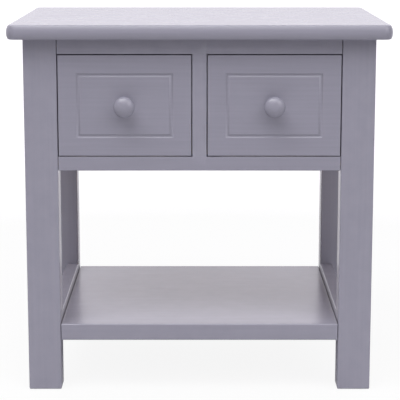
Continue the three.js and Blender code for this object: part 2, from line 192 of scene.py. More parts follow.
def paint_skin_group():
    group, ins, outs = new_group(
        "paint_skin",
        [("Vector", "vector", None), ("Along", "vector", None), ("Peel", "value", 0.5)],
        [("Tone", "value"), ("Streak", "value"), ("Sheen", "value"), ("Height", "value")],
    )
    where = ins.outputs["Vector"]
    drawn_out = put(
        group, "ShaderNodeMapping", {"Vector": ins.outputs["Along"], "Scale": STREAK_STRETCH},
    ).outputs["Vector"]
    streak = noise(group, drawn_out, STREAK_SCALE, 3.0, 0.6)
    tone = noise(group, where, TONE_SCALE, 3.0)
    sheen = noise(group, where, WAVE_SCALE * 2, 3.0)
    peel = noise(group, where, PEEL_SCALE, 1.0)
    wave = noise(group, where, WAVE_SCALE, 1.0)
    peel_part = maths(group, "MULTIPLY", peel, ins.outputs["Peel"])
    height = maths(group, "ADD", peel_part, maths(group, "MULTIPLY", wave, 2.0))
    height = maths(group, "ADD", height, streak)
    group.links.new(tone, outs.inputs["Tone"])
    group.links.new(streak, outs.inputs["Streak"])
    group.links.new(sheen, outs.inputs["Sheen"])
    group.links.new(height, outs.inputs["Height"])
    return group


paint_skin = paint_skin_group()
print("group", paint_skin.name, "has", len(paint_skin.nodes), "nodes")

# %% [markdown]
# ## Painted edge highlight
#
# A satin coat catches the light along its rounded edges, and this mask paints that highlight into
# the colour as a lighter tint. Cycles knows how sharply the surface turns at each point:
# Geometry's Pointiness is above one half on a ridge. The group keeps the ridges only and breaks
# them up with noise, so the painted highlight comes and goes along an edge.

# %% Painted edge highlight group
# Masks the rounded ridges that get a painted highlight, broken up by noise.
def painted_edge_highlight_group():
    group, ins, outs = new_group(
        "painted_edge_highlight",
        [("Vector", "vector", None), ("Amount", "value", 1.0)],
        [("Mask", "value")],
    )
    pointed = put(group, "ShaderNodeNewGeometry").outputs["Pointiness"]
    ridge = remap(group, pointed, 0.515, 0.6, 0.0, 1.0)
    patchy = remap(group, noise(group, ins.outputs["Vector"], 60.0, 4.0), 0.35, 0.7, 0.2, 1.0)
    mask = maths(group, "MULTIPLY", ridge, patchy)
    group.links.new(maths(group, "MULTIPLY", mask, ins.outputs["Amount"]), outs.inputs["Mask"])
    return group


painted_edge_highlight = painted_edge_highlight_group()
print("group", painted_edge_highlight.name, "has", len(painted_edge_highlight.nodes), "nodes")

# %% [markdown]
# ## Wood grain
#
# Bare softwood shows growth rings cut lengthways: long pale bands with thinner dark ones, all
# running along the board, and fine fibres between them. The rings are cylinders about a pith that
# lies well below the board, so a ring-shaped Wave texture with that axis gives them from one
# formula. The group expects the grain to run along X, and each material turns its own
# coordinates to suit.

# %% Wood grain group
SOFTWOOD_RINGS = 26.0
PLYWOOD_RINGS = 16.0
RING_WANDER = 7.0
RING_STRETCH = (0.12, 1, 1)
PITH = (0, 0.11, 0.42)
FIBRE_SCALE = 900.0
FIBRE_STRETCH = (0.03, 1, 1)


def wood_grain_group():
    group, ins, outs = new_group(
        "wood_grain",
        [("Vector", "vector", None), ("Ring scale", "value", SOFTWOOD_RINGS)],
        [("Ring", "value"), ("Fibre", "value"), ("Height", "value")],
    )
    drawn_out = put(
        group, "ShaderNodeMapping",
        {"Vector": ins.outputs["Vector"], "Location": PITH, "Scale": RING_STRETCH},
    ).outputs["Vector"]
    rings = put(
        group, "ShaderNodeTexWave",
        {
            "Vector": drawn_out, "Scale": ins.outputs["Ring scale"], "Distortion": RING_WANDER,
            "Detail": 2.0, "Detail Scale": 1.0, "Detail Roughness": 0.5,
        },
        wave_type="RINGS", rings_direction="X", wave_profile="SAW",
    ).outputs["Fac"]
    stretched = put(
        group, "ShaderNodeMapping", {"Vector": ins.outputs["Vector"], "Scale": FIBRE_STRETCH},
    ).outputs["Vector"]
    fibre = noise(group, stretched, FIBRE_SCALE, 3.0, 0.6)
    height = maths(group, "ADD", maths(group, "MULTIPLY", rings, 0.12), fibre)
    group.links.new(rings, outs.inputs["Ring"])
    group.links.new(fibre, outs.inputs["Fibre"])
    group.links.new(height, outs.inputs["Height"])
    return group


wood_grain = wood_grain_group()
print("group", wood_grain.name, "has", len(wood_grain.nodes), "nodes")

# %% [markdown]
# ## The paint
#
# One satin grey with a breath of lilac covers all that shows from the front. It drifts a little,
# the streaks of the grain vary it a little more, and the rounded edges are tinted a touch lighter,
# a painted highlight where they catch the light. Grain follows a board's length, so the recipe is
# made three times with its coordinates turned: along X, along Y and along Z.

# %% Paint materials
PAINT = colour(138, 136, 150)
PAINT_LIGHT = colour(141, 139, 153)
# A lighter paint for the rounded edges: a painted highlight.
PAINT_EDGE_HIGHLIGHT = colour(156, 154, 167)
QUARTER_TURN = math.pi / 2
GRAIN_TURNS = {
    "x": (0, 0, 0),
    "y": (0, 0, -QUARTER_TURN),
    "z": (0, QUARTER_TURN, 0),
}


def turned_along(tree, place, turn):
    """Object coordinates turned so that X runs along the board's grain."""
    return put(tree, "ShaderNodeMapping", {"Vector": place, "Rotation": turn}).outputs["Vector"]


def make_paint(name, turn):
    material, tree, shader, place = new_material(name)
    along = turned_along(tree, place, turn)
    skin = put(tree, "ShaderNodeGroup", {"Vector": place, "Along": along}, node_tree=paint_skin)
    # Painted highlight: the rounded edges are mixed towards a lighter paint.
    edge_highlight = put(tree, "ShaderNodeGroup", {"Vector": place, "Amount": 0.35}, node_tree=painted_edge_highlight)
    body = blend_colours(tree, skin.outputs["Tone"], PAINT, PAINT_LIGHT)
    streaks = remap(tree, skin.outputs["Streak"], 0.3, 0.7, 0.97, 1.03)
    grained = blend_colours(tree, 1.0, body, streaks, "MULTIPLY")
    highlighted = blend_colours(tree, edge_highlight.outputs["Mask"], grained, PAINT_EDGE_HIGHLIGHT)
    tree.links.new(highlighted, shader.inputs["Base Color"])
    gloss = remap(tree, skin.outputs["Sheen"], 0.3, 0.7, 0.22, 0.25)
    tree.links.new(gloss, shader.inputs["Roughness"])
    shader.inputs["IOR"].default_value = 1.5
    add_bump(tree, shader, skin.outputs["Height"], 0.1, 0.00003)
    return Finish(material, "paint")


paint = {axis: make_paint(f"satin_paint_along_{axis}", turn) for axis, turn in GRAIN_TURNS.items()}
print("paint along", sorted(paint), "covers slot", paint["x"].slot)

# %% [markdown]
# ## Bare wood
#
# Inside, nothing is painted. The runners, guides, kickers, drawer sides and dowels are planed
# softwood, again in three directions.

# %% Bare wood materials
WOOD_PALE = colour(226, 203, 164)
WOOD_DARK = colour(196, 160, 112)
PLY_PALE = colour(232, 214, 180)
PLY_DARK = colour(213, 187, 143)


def make_wood(name, slot, turn, pale, dark, ring_scale):
    material, tree, shader, place = new_material(name)
    settings = {"Vector": turned_along(tree, place, turn), "Ring scale": ring_scale}
    grain = put(tree, "ShaderNodeGroup", settings, node_tree=wood_grain)
    bands = remap(tree, grain.outputs["Ring"], 0.0, 1.0, 0.05, 0.7)
    banded = blend_colours(tree, bands, pale, dark)
    flecks = remap(tree, grain.outputs["Fibre"], 0.3, 0.7, 0.88, 1.04)
    tree.links.new(
        blend_colours(tree, 1.0, banded, flecks, "MULTIPLY"), shader.inputs["Base Color"],
    )
    dull = remap(tree, grain.outputs["Fibre"], 0.3, 0.7, 0.52, 0.66)
    tree.links.new(dull, shader.inputs["Roughness"])
    add_bump(tree, shader, grain.outputs["Height"], 0.25, 0.0003)
    return Finish(material, slot)


def make_softwood(axis):
    turn = GRAIN_TURNS[axis]
    name = f"softwood_along_{axis}"
    return make_wood(name, "bare_wood", turn, WOOD_PALE, WOOD_DARK, SOFTWOOD_RINGS)


wood = {axis: make_softwood(axis) for axis in GRAIN_TURNS}
plywood = make_wood(
    "thin_plywood", "plywood", GRAIN_TURNS["y"], PLY_PALE, PLY_DARK, PLYWOOD_RINGS,
)
print("wood along", sorted(wood), "and", plywood.material.name)

# %% [markdown]
# ## Zinc plate
#
# The screws and cam fittings are steel with a bright zinc skin. It is metal all over, a little
# blue, and its gloss is uneven from the plating drum.

# %% Zinc material
def make_zinc():
    material, tree, shader, place = new_material("bright_zinc")
    drum = noise(tree, place, 300.0, 4.0)
    tint = blend_colours(tree, drum, colour(190, 192, 198), colour(212, 213, 216))
    tree.links.new(tint, shader.inputs["Base Color"])
    tree.links.new(remap(tree, drum, 0.3, 0.7, 0.22, 0.42), shader.inputs["Roughness"])
    shader.inputs["Metallic"].default_value = 1.0
    add_bump(tree, shader, drum, 0.1, 0.0001)
    return Finish(material, "zinc")


zinc = make_zinc()
print("zinc covers slot", zinc.slot)

# %% [markdown]
# ## From board to piece
#
# Every board starts as a cube that is stretched between the two corners the frame gives. Real
# boards have no knife edges, so chosen edges are rounded with a bevel, as a router bit or a
# sanding block does it. `edges_at` picks them by where they lie. `step_along` is for mouldings:
# it insets a face again and again and moves it a little each time.

# %% Board helpers
def start_board(low, high):
    """A box between two corners, as a bmesh."""
    bm = bmesh.new()
    bmesh.ops.create_cube(bm, size=1)
    bmesh.ops.scale(bm, vec=high - low, verts=bm.verts)
    bmesh.ops.translate(bm, vec=(low + high) / 2, verts=bm.verts)
    return bm


def edges_at(bm, x=None, y=None, z=None):
    """The edges that lie wholly at the given levels."""
    levels = [(axis, level) for axis, level in enumerate((x, y, z)) if level is not None]

    def there(vert):
        return all(abs(vert.co[axis] - level) < 0.01 * MM for axis, level in levels)

    return [edge for edge in bm.edges if there(edge.verts[0]) and there(edge.verts[1])]


def soften(bm, edges, radius, segments=3):
    """Rounds edges over to a radius in millimetres."""
    bmesh.ops.bevel(
        bm, geom=edges, offset=radius * MM, affect="EDGES", segments=segments, profile=0.5,
        material=-1,
    )


def step_along(bm, face, path, way):
    """Takes a face through (inset, rise) points in millimetres, and leaves a curved rim."""
    for (inset, rise), (next_inset, next_rise) in zip(path, path[1:]):
        bmesh.ops.inset_region(
            bm, faces=[face], thickness=(next_inset - inset) * MM, use_boundary=True,
            use_even_offset=True,
        )
        bmesh.ops.translate(bm, vec=Vector(way) * (next_rise - rise) * MM, verts=face.verts)


def make_object(name, bm):
    """Turns a bmesh into an object of the scene."""
    bmesh.ops.recalc_face_normals(bm, faces=bm.faces)
    mesh = bpy.data.meshes.new(name)
    bm.to_mesh(mesh)
    bm.free()
    made = bpy.data.objects.new(name, mesh)
    bpy.context.scene.collection.objects.link(made)
    return made


# %% [markdown]
# ## Handing a piece over
#
# A finished piece gets its finish and smooth shading with crisp corners. Weighted normals keep
# the big flats flat, so that only the rounded edges catch the light. Then it rides on the body of
# the CAD node that it stands for.

# %% Hand a piece over
CRISP_ANGLE = math.radians(50)


def hand_over(piece, finish, node):
    """Finishes a piece and lets it stand for a CAD node."""
    piece.data.materials.clear()
    piece.data.materials.append(finish.material)
    piece.data.shade_smooth()
    piece.data.set_sharp_from_angle(angle=CRISP_ANGLE)
    flats = piece.modifiers.new("flat_faces", "WEIGHTED_NORMAL")
    flats.keep_sharp = True
    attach(piece, frame["nodes"][node]["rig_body"])
    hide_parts(node)
    return piece


# %% [markdown]
# ## Cutting and drilling
#
# A joiner's holes are cut with tools, and so are these: a cutter is made as an object of its own,
# a Boolean modifier takes it away, the result is kept as the new mesh and the cutter is thrown
# away. `drill` finds the hole for a dowel or bolt from the CAD pin's own box.

# %% Cutting helpers
HOLE_SLACK = 0.3


def carve(piece, cutter):
    """Cuts one object out of another and removes the cutter."""
    cut = piece.modifiers.new("cut", "BOOLEAN")
    cut.operation = "DIFFERENCE"
    cut.solver = "EXACT"
    cut.object = cutter
    bpy.context.view_layer.update()
    graph = bpy.context.evaluated_depsgraph_get()
    carved = bpy.data.meshes.new_from_object(piece.evaluated_get(graph))
    piece.modifiers.clear()
    whole = piece.data
    piece.data = carved
    bpy.data.meshes.remove(whole)
    bpy.data.objects.remove(cutter)


def aim(bm, start, way):
    """Turns a shape that stands along Z to point along way, and puts its foot at start."""
    turn = Vector((0, 0, 1)).rotation_difference(Vector(way)).to_matrix().to_4x4()
    bmesh.ops.transform(bm, matrix=Matrix.Translation(start) @ turn, verts=bm.verts)
    return bm


def bore(piece, centre, way, radius, depth):
    """Drills one round hole."""
    bm = bmesh.new()
    bmesh.ops.create_cone(
        bm, cap_ends=True, segments=32, radius1=radius, radius2=radius, depth=depth,
    )
    carve(piece, make_object("drill_bit", aim(bm, centre, way)))


def drill(piece, *pins):
    """Drills a hole for each CAD pin, along the pin's longest side."""
    for pin in pins:
        low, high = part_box(pin)
        size = high - low
        way = Vector(float(side == max(size)) for side in size)
        slack = HOLE_SLACK * MM
        bore(piece, (low + high) / 2, way, min(size) / 2 + slack, max(size) + 2 * slack)


# %% [markdown]
# ## Turned shapes
#
# Knobs, screws and cams come off a lathe. `turn` spins a profile of radius and height once round
# the Z axis. `arc` gives the points of a round stretch, so that a profile is only a few numbers.

# %% Lathe helpers
def turn(profile, steps=48):
    """Spins a profile of (radius, height) points, in millimetres, into a closed solid."""
    bm = bmesh.new()
    verts = [bm.verts.new((radius * MM, 0, height * MM)) for radius, height in profile]
    edges = [bm.edges.new(pair) for pair in zip(verts, verts[1:])]
    bmesh.ops.spin(
        bm, geom=verts + edges, cent=(0, 0, 0), axis=(0, 0, 1), dvec=(0, 0, 0),
        angle=math.tau, steps=steps, use_merge=True, use_duplicate=False,
    )
    bmesh.ops.remove_doubles(bm, verts=bm.verts, dist=0.001 * MM)
    return bm


def arc(centre, radii, start, end, points):
    """Points on an ellipse from one angle to another, in degrees."""
    spots = []
    for index in range(points):
        angle = math.radians(start + (end - start) * index / (points - 1))
        radius = centre[0] + radii[0] * math.cos(angle)
        height = centre[1] + radii[1] * math.sin(angle)
        spots.append((radius, height))
    return spots


# %% [markdown]
# ## The screws that hold the top
#
# Four countersunk screws come up through the kickers into the tabletop. They are turned, then a
# cross is cut into the head with two thin blades, as a heading die presses it. The same profile,
# a little fatter, is the hole in the wood.

# %% Top screws
TOP_SCREW_HEAD = 4.0
TOP_SCREW_CONE = 3.0
TOP_SCREW_SHANK = 2.0
TOP_SCREW_POINT = 4.0
CROSS_SPAN = 4.4
CROSS_WIDTH = 0.9
CROSS_DEPTH = 1.3


def screw_profile(length, slack):
    """A countersunk wood screw with its head down, grown by a slack for its hole."""
    return [
        (0, -slack),
        (TOP_SCREW_HEAD + slack, -slack),
        (TOP_SCREW_SHANK + slack, TOP_SCREW_CONE),
        (TOP_SCREW_SHANK + slack, length - TOP_SCREW_POINT + slack),
        (0, length + slack),
    ]


def cut_cross(piece, centre, way):
    """Cuts a cross recess into a screw head whose face is at centre and looks along way."""
    for blade in ((CROSS_SPAN, CROSS_WIDTH), (CROSS_WIDTH, CROSS_SPAN)):
        bm = bmesh.new()
        bmesh.ops.create_cube(bm, size=1)
        size = Vector((blade[0], blade[1], 2 * CROSS_DEPTH)) * MM
        bmesh.ops.scale(bm, vec=size, verts=bm.verts)
        carve(piece, make_object("blade", aim(bm, centre, way)))


def screw_foot(node):
    """The middle of a top screw's head, and the screw's length in millimetres."""
    low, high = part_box(node)
    middle = (low + high) / 2
    return Vector((middle.x, middle.y, low.z)), (high.z - low.z) / MM


top_screws = [f"tabletop_screw_{end}_{side}" for side in SIDES for end in ENDS]
for node in top_screws:
    foot, length = screw_foot(node)
    screw = make_object(f"{node}_turned", aim(turn(screw_profile(length, 0), 24), foot, (0, 0, 1)))
    cut_cross(screw, foot, (0, 0, -1))
    hand_over(screw, zinc, node)
print(len(top_screws), "top screws,", round(length, 1), "mm long")

# %% [markdown]
# ## The tabletop
#
# The top is one board with small round corners and a nose that bulges all round, fullest a little
# below the middle. A joiner runs it with a large nosing bit. Here it grows from a thin slice at
# the fullest line: the slice's upper and lower faces are stepped along the two halves of one
# upright ellipse, and the two crisp edges that are left are eased.

# %% Tabletop
TOP_CORNER = 10
NOSE_REACH = 9.5
NOSE_RISE = 11.5
NOSE_FULLEST = 7
NOSE_SLICE = 0.1
NOSE_ARRIS = 1.0


def nose_path(height):
    """Points of (inset, rise) from the fullest line of the nose to a height above it."""
    turned_by = math.degrees(math.asin(height / NOSE_RISE))
    return arc((NOSE_REACH, 0), (NOSE_REACH, NOSE_RISE), 180, 180 - turned_by, 8)


def make_tabletop():
    low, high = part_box("tabletop")
    fullest = low.z + NOSE_FULLEST * MM
    thin = NOSE_SLICE * MM
    bm = start_board(
        Vector((low.x, low.y, fullest - thin)), Vector((high.x, high.y, fullest + thin)),
    )
    corners = [edge for x in (low.x, high.x) for y in (low.y, high.y)
               for edge in edges_at(bm, x=x, y=y)]
    soften(bm, corners, TOP_CORNER, 10)
    for way, level in (((0, 0, 1), high.z), ((0, 0, -1), low.z)):
        face = max(bm.faces, key=lambda item: item.normal.dot(Vector(way)) * item.calc_area())
        step_along(bm, face, nose_path((abs(level - fullest) - thin) / MM), way)
    soften(bm, edges_at(bm, z=high.z) + edges_at(bm, z=low.z), NOSE_ARRIS, 3)
    top = make_object("tabletop_board", bm)
    for node in top_screws:
        foot, length = screw_foot(node)
        hole = aim(turn(screw_profile(length, HOLE_SLACK), 24), foot, (0, 0, 1))
        carve(top, make_object("pilot", hole))
    return hand_over(top, paint["x"], "tabletop")


tabletop = make_tabletop()
print("tabletop has", len(tabletop.data.polygons), "faces")

# %% [markdown]
# ## The legs
#
# Four square legs run from the floor to the underside of the top. Their long edges are eased by
# about a millimetre and the feet a little, so that they don't splinter when the table is pushed.
# The front legs are drilled for the dowels of both front rails, and all four for the lower rails.

# %% Legs
LEG_ARRIS = 1.3
FOOT_ARRIS = 1.5


def upright_edges(bm, low, high):
    """The four long edges of an upright board."""
    return [edge for x in (low.x, high.x) for y in (low.y, high.y)
            for edge in edges_at(bm, x=x, y=y)]


def make_leg(end, side):
    node = f"{end}_{side}_leg"
    low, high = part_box(node)
    bm = start_board(low, high)
    soften(bm, upright_edges(bm, low, high), LEG_ARRIS)
    soften(bm, edges_at(bm, z=low.z), FOOT_ARRIS, 2)
    leg = make_object(f"{node}_post", bm)
    drill(leg, f"lower_rail_dowel_{end}_{side}")
    if end == "front":
        drill(leg, f"front_bottom_rail_{side}_dowel", f"front_top_rail_{side}_dowel")
    return hand_over(leg, paint["z"], node)


legs = [make_leg(end, side) for end in ENDS for side in SIDES]
print(len(legs), "legs,", round(legs[0].dimensions.z / MM), "mm tall")

# %% [markdown]
# ## The front frame
#
# Two rails and a short stile frame the drawers. Where the stile meets the rails the joint is
# filled and painted over, so nothing shows. Where the rails butt against the legs a fine dark line
# shows, so their ends are a hair short and lightly eased. The rails' inner edges are rounded only
# along the openings: the board is first sliced where the stile stands, and the bevel stops there.

# %% Front frame
OUTER_ARRIS = 1.0
OPENING_ARRIS = 0.5
STILE_ARRIS = 0.3
END_GAP = 0.4
END_ARRIS = 0.5


def make_front_rail(name, opening_level, outer_level):
    node = f"front_{name}_rail"
    low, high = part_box(node)
    low.x += END_GAP * MM
    high.x -= END_GAP * MM
    stile_low, stile_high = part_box("centre_stile")
    bm = start_board(low, high)
    for x in (stile_low.x, stile_high.x):
        everything = [*bm.verts, *bm.edges, *bm.faces]
        bmesh.ops.bisect_plane(bm, geom=everything, plane_co=(x, 0, 0), plane_no=(1, 0, 0))
    levels = {"low": low.z, "high": high.z}
    along_openings = [
        edge for edge in edges_at(bm, y=low.y, z=levels[opening_level])
        if abs(edge.verts[0].co.x + edge.verts[1].co.x) / 2 > stile_high.x
    ]
    soften(bm, along_openings, OPENING_ARRIS)
    soften(bm, edges_at(bm, x=low.x, y=low.y) + edges_at(bm, x=high.x, y=low.y), END_ARRIS, 2)
    if outer_level:
        soften(bm, edges_at(bm, y=low.y, z=levels[outer_level]), OUTER_ARRIS)
        soften(bm, edges_at(bm, y=high.y, z=levels[outer_level]), OUTER_ARRIS)
    rail = make_object(f"{node}_board", bm)
    pins = [f"front_{name}_rail_{side}_dowel" for side in SIDES]
    drill(rail, *pins, f"stile_{name}_dowel")
    return hand_over(rail, paint["x"], node)


def make_stile():
    low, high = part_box("centre_stile")
    bm = start_board(low, high)
    front = [edge for x in (low.x, high.x) for edge in edges_at(bm, x=x, y=low.y)]
    soften(bm, front, STILE_ARRIS, 2)
    stile = make_object("centre_stile_board", bm)
    drill(stile, "stile_bottom_dowel", "stile_top_dowel")
    return hand_over(stile, paint["z"], "centre_stile")


front_frame = [
    make_front_rail("bottom", "high", "low"),
    make_front_rail("top", "low", None),
    make_stile(),
]
print("front frame:", [piece.name for piece in front_frame])

# %% [markdown]
# ## Side and back panels
#
# Flat painted panels close the apron between the legs. Only their lower edges can be seen and
# touched, so only those are eased.

# %% Panels
def make_panel(node, axis):
    low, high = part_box(node)
    bm = start_board(low, high)
    soften(bm, edges_at(bm, z=low.z), OUTER_ARRIS)
    return hand_over(make_object(f"{node}_board", bm), paint[axis], node)


panels = [make_panel(f"{side}_side_panel", "y") for side in SIDES] + [make_panel("back_panel", "x")]
print(len(panels), "panels")

# %% [markdown]
# ## Runners, guides and kickers
#
# Under each drawer lie runners, beside it guides, and above it kickers that stop it from tipping
# when it is pulled out. They are plain planed sticks with their edges just broken. The two outer
# kickers also carry the top's screws, and their holes are countersunk.

# %% Drawer work
STICK_ARRIS = 0.6
COUNTERSINK_MOUTH = 2.0


def make_stick(node):
    low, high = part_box(node)
    bm = start_board(low, high)
    soften(bm, bm.edges[:], STICK_ARRIS, 2)
    return make_object(f"{node}_stick", bm)


def countersink(kicker, side):
    """Opens the screw holes of one kicker, each with a mouth for the head to sink in."""
    for end in ENDS:
        foot, length = screw_foot(f"tabletop_screw_{end}_{side}")
        outline = screw_profile(length, HOLE_SLACK)
        head = TOP_SCREW_HEAD + HOLE_SLACK
        outline[0:1] = [(0, -COUNTERSINK_MOUTH), (head, -COUNTERSINK_MOUTH)]
        carve(kicker, make_object("countersink", aim(turn(outline, 24), foot, (0, 0, 1))))


for place in ("left", "centre", "right"):
    for job in ("runner", "guide", "kicker"):
        stick = make_stick(f"{place}_{job}")
        if job == "kicker" and place != "centre":
            countersink(stick, place)
        hand_over(stick, wood["y"], f"{place}_{job}")
print("nine sticks guide the drawers")

# %% [markdown]
# ## The lower shelf and its rails
#
# The shelf is a solid painted board that lies between two rails, and the rails stand a little
# proud of it so that nothing rolls off sideways. Cam fittings in its underside grip bolts in the
# rails and pull the joint tight.

# %% Shelf and lower rails
SHELF_ARRIS = 1.5
SHELF_END_ARRIS = 0.5


def make_shelf():
    low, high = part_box("lower_shelf")
    bm = start_board(low, high)
    soften(bm, edges_at(bm, x=low.x) + edges_at(bm, x=high.x), SHELF_END_ARRIS, 2)
    for y in (low.y, high.y):
        for z in (low.z, high.z):
            soften(bm, edges_at(bm, y=y, z=z), SHELF_ARRIS)
    shelf = make_object("lower_shelf_board", bm)
    for side in SIDES:
        for end in ENDS:
            cam_low, cam_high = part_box(f"shelf_cam_{end}_{side}")
            radius = (cam_high.x - cam_low.x) / 2 + HOLE_SLACK * MM
            depth = cam_high.z - cam_low.z + 2 * HOLE_SLACK * MM
            bore(shelf, (cam_low + cam_high) / 2, (0, 0, 1), radius, depth)
            drill(shelf, f"shelf_cam_bolt_{end}_{side}")
    return hand_over(shelf, paint["x"], "lower_shelf")


def make_lower_rail(side):
    node = f"{side}_lower_rail"
    low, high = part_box(node)
    bm = start_board(low, high)
    long_edges = [edge for x in (low.x, high.x) for z in (low.z, high.z)
                  for edge in edges_at(bm, x=x, z=z)]
    soften(bm, long_edges, OUTER_ARRIS)
    rail = make_object(f"{node}_board", bm)
    for end in ENDS:
        drill(rail, f"lower_rail_dowel_{end}_{side}", f"shelf_cam_bolt_{end}_{side}")
    return hand_over(rail, paint["y"], node)


shelf = make_shelf()
lower_rails = [make_lower_rail(side) for side in SIDES]
shelf_size = [round(size / MM) for size in shelf.dimensions]
print("shelf is", shelf_size, "mm, between", len(lower_rails), "rails")

# %% [markdown]
# ## Cam fittings
#
# A cam is a small metal drum with a cross in its face for a screwdriver, and a pocket in its flank
# that swallows the bolt's head. From below, four of them show flush in the shelf.

# %% Cams
CAM_RIM = 0.5


def make_cam(end, side):
    node = f"shelf_cam_{end}_{side}"
    low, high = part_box(node)
    radius = (high.x - low.x) / 2 / MM
    height = (high.z - low.z) / MM
    profile = [
        (0, 0), (radius - CAM_RIM, 0), (radius, CAM_RIM),
        (radius, height - CAM_RIM), (radius - CAM_RIM, height), (0, height),
    ]
    foot = Vector(((low.x + high.x) / 2, (low.y + high.y) / 2, low.z))
    cam = make_object(f"{node}_drum", aim(turn(profile), foot, (0, 0, 1)))
    drill(cam, f"shelf_cam_bolt_{end}_{side}")
    cut_cross(cam, foot, (0, 0, -1))
    return hand_over(cam, zinc, node)


cams = [make_cam(end, side) for side in SIDES for end in ENDS]
print(len(cams), "cams")

# %% [markdown]
# ## Drawer fronts
#
# Each front is a flat board with a shallow line run round it, mitred at the corners, that stands
# in for a framed panel. A round-nosed cutter leaves a hollow, and sanding and paint round its two
# lips, so its upper side lies in shade and its lower side catches the light. The front face is
# inset for the margin, then stepped over one lip, through the hollow and over the other lip.

# %% Drawer fronts
LINE_MARGIN = 18.6
LINE_STEEPEST = 50
LINE_LIP = 1.2
LINE_HOLLOW = 1.9
FRONT_ARRIS = 0.4
KNOB_SCREW_SHANK = 2.0
FORWARDS = (0, -1, 0)


def line_path():
    """Points of (inset, rise) across the line: a rounded lip, a hollow, and a lip again."""
    reach = math.sin(math.radians(LINE_STEEPEST))
    drop = math.cos(math.radians(LINE_STEEPEST))
    middle = (LINE_LIP + LINE_HOLLOW) * reach
    lip_level = -LINE_LIP * (1 - drop)
    lip, hollow = (LINE_LIP, LINE_LIP), (LINE_HOLLOW, LINE_HOLLOW)
    down = arc((0, -LINE_LIP), lip, 90, 90 - LINE_STEEPEST, 5)
    across = arc(
        (middle, lip_level + LINE_HOLLOW * drop), hollow, 270 - LINE_STEEPEST,
        270 + LINE_STEEPEST, 7,
    )
    up = arc((2 * middle, -LINE_LIP), lip, 90 + LINE_STEEPEST, 90, 5)
    return [*down, *across[1:], *up[1:]]


def make_drawer_front(side):
    node = f"{side}_drawer_front"
    low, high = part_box(node)
    bm = start_board(low, high)
    soften(bm, edges_at(bm, y=low.y), FRONT_ARRIS)
    face = min(bm.faces, key=lambda item: item.calc_center_median().y)
    step_along(bm, face, [(FRONT_ARRIS, 0), (LINE_MARGIN, 0)], FORWARDS)
    step_along(bm, face, line_path(), FORWARDS)
    front = make_object(f"{node}_board", bm)
    radius = (KNOB_SCREW_SHANK + HOLE_SLACK) * MM
    bore(front, (low + high) / 2, (0, 1, 0), radius, 2 * (high.y - low.y))
    return hand_over(front, paint["x"], node)


drawer_fronts = [make_drawer_front(side) for side in SIDES]
print("each front is", [round(size / MM, 1) for size in drawer_fronts[0].dimensions], "mm")

# %% [markdown]
# ## Drawer boxes
#
# Behind each front is a plain box of thin boards: two sides grooved for the bottom, a back that
# stands on the bottom, and a sheet of plywood slid into the grooves. The groove is cut with the
# bottom's own outline, grown by a little play, so the two always fit.

# %% Drawer boxes
GROOVE_PLAY = 0.25
BOX_ARRIS = 0.8


def make_drawer_board(node):
    """A drawer board with its upper edges eased, where a hand meets them."""
    low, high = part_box(node)
    bm = start_board(low, high)
    soften(bm, edges_at(bm, z=high.z), BOX_ARRIS)
    return make_object(f"{node}_board", bm)


def plough_groove(board, bottom_node):
    """Cuts the groove that the drawer's bottom slides in."""
    low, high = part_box(bottom_node)
    play = Vector((GROOVE_PLAY, 2, GROOVE_PLAY)) * MM
    carve(board, make_object("plough", start_board(low - play, high + play)))


for side in SIDES:
    drawer = f"{side}_drawer"
    for hand in SIDES:
        board = make_drawer_board(f"{drawer}_{hand}_side")
        plough_groove(board, f"{drawer}_bottom")
        hand_over(board, wood["y"], f"{drawer}_{hand}_side")
    hand_over(make_drawer_board(f"{drawer}_back"), wood["x"], f"{drawer}_back")
    hand_over(make_drawer_board(f"{drawer}_bottom"), plywood, f"{drawer}_bottom")
print("two boxes of four boards each")

# %% [markdown]
# ## Knobs
#
# A mushroom knob is turned in one piece: a low dome, a rounded underside that fingers hook
# behind, a slim neck and a small foot. Two arcs make its head and two small coves its neck. The
# lathe works upwards, then the finished knob is laid over to point at whoever opens the drawer.

# %% Knobs
KNOB_FOOT = 6.5
KNOB_NECK = 5.25
KNOB_WIDEST_AT = 13.5
KNOB_HOLE_DEPTH = 10
UNDERSIDE_INSET = 4.5
UNDERSIDE_DROP = 8
NECK_COVE_MIDDLE = (6.35, 4.5)
NECK_COVE_RISE = 1.1
FOOT_COVE_MIDDLE = (KNOB_FOOT, 2.6)
FOOT_COVE_RISE = 1.8
FOOT_CHAMFER = 0.2


def knob_profile(radius, length, hole_depth):
    hole = KNOB_SCREW_SHANK + HOLE_SLACK
    dome = arc((0, KNOB_WIDEST_AT), (radius, length - KNOB_WIDEST_AT), 0, 90, 12)
    hook = (radius - UNDERSIDE_INSET, UNDERSIDE_DROP)
    underside = arc((UNDERSIDE_INSET, KNOB_WIDEST_AT), hook, -75, -8, 8)
    neck_radii = (NECK_COVE_MIDDLE[0] - KNOB_NECK, NECK_COVE_RISE)
    neck_cove = arc(NECK_COVE_MIDDLE, neck_radii, 180, 105, 5)
    foot_radii = (FOOT_COVE_MIDDLE[0] - KNOB_NECK, FOOT_COVE_RISE)
    foot_cove = arc(FOOT_COVE_MIDDLE, foot_radii, 270, 180, 6)
    bore_wall = [(0, hole_depth), (hole, hole_depth), (hole, 0)]
    foot = [(KNOB_FOOT - FOOT_CHAMFER, 0), (KNOB_FOOT, FOOT_CHAMFER)]
    return [*bore_wall, *foot, *foot_cove, *neck_cove, *underside, *dome]


def make_knob(side):
    node = f"{side}_drawer_knob"
    low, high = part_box(node)
    radius = (high.x - low.x) / 2 / MM
    length = (high.y - low.y) / MM
    foot = Vector(((low.x + high.x) / 2, high.y, (low.z + high.z) / 2))
    profile = knob_profile(radius, length, KNOB_HOLE_DEPTH)
    knob = make_object(f"{node}_turned", aim(turn(profile, 64), foot, FORWARDS))
    return hand_over(knob, paint["y"], node)


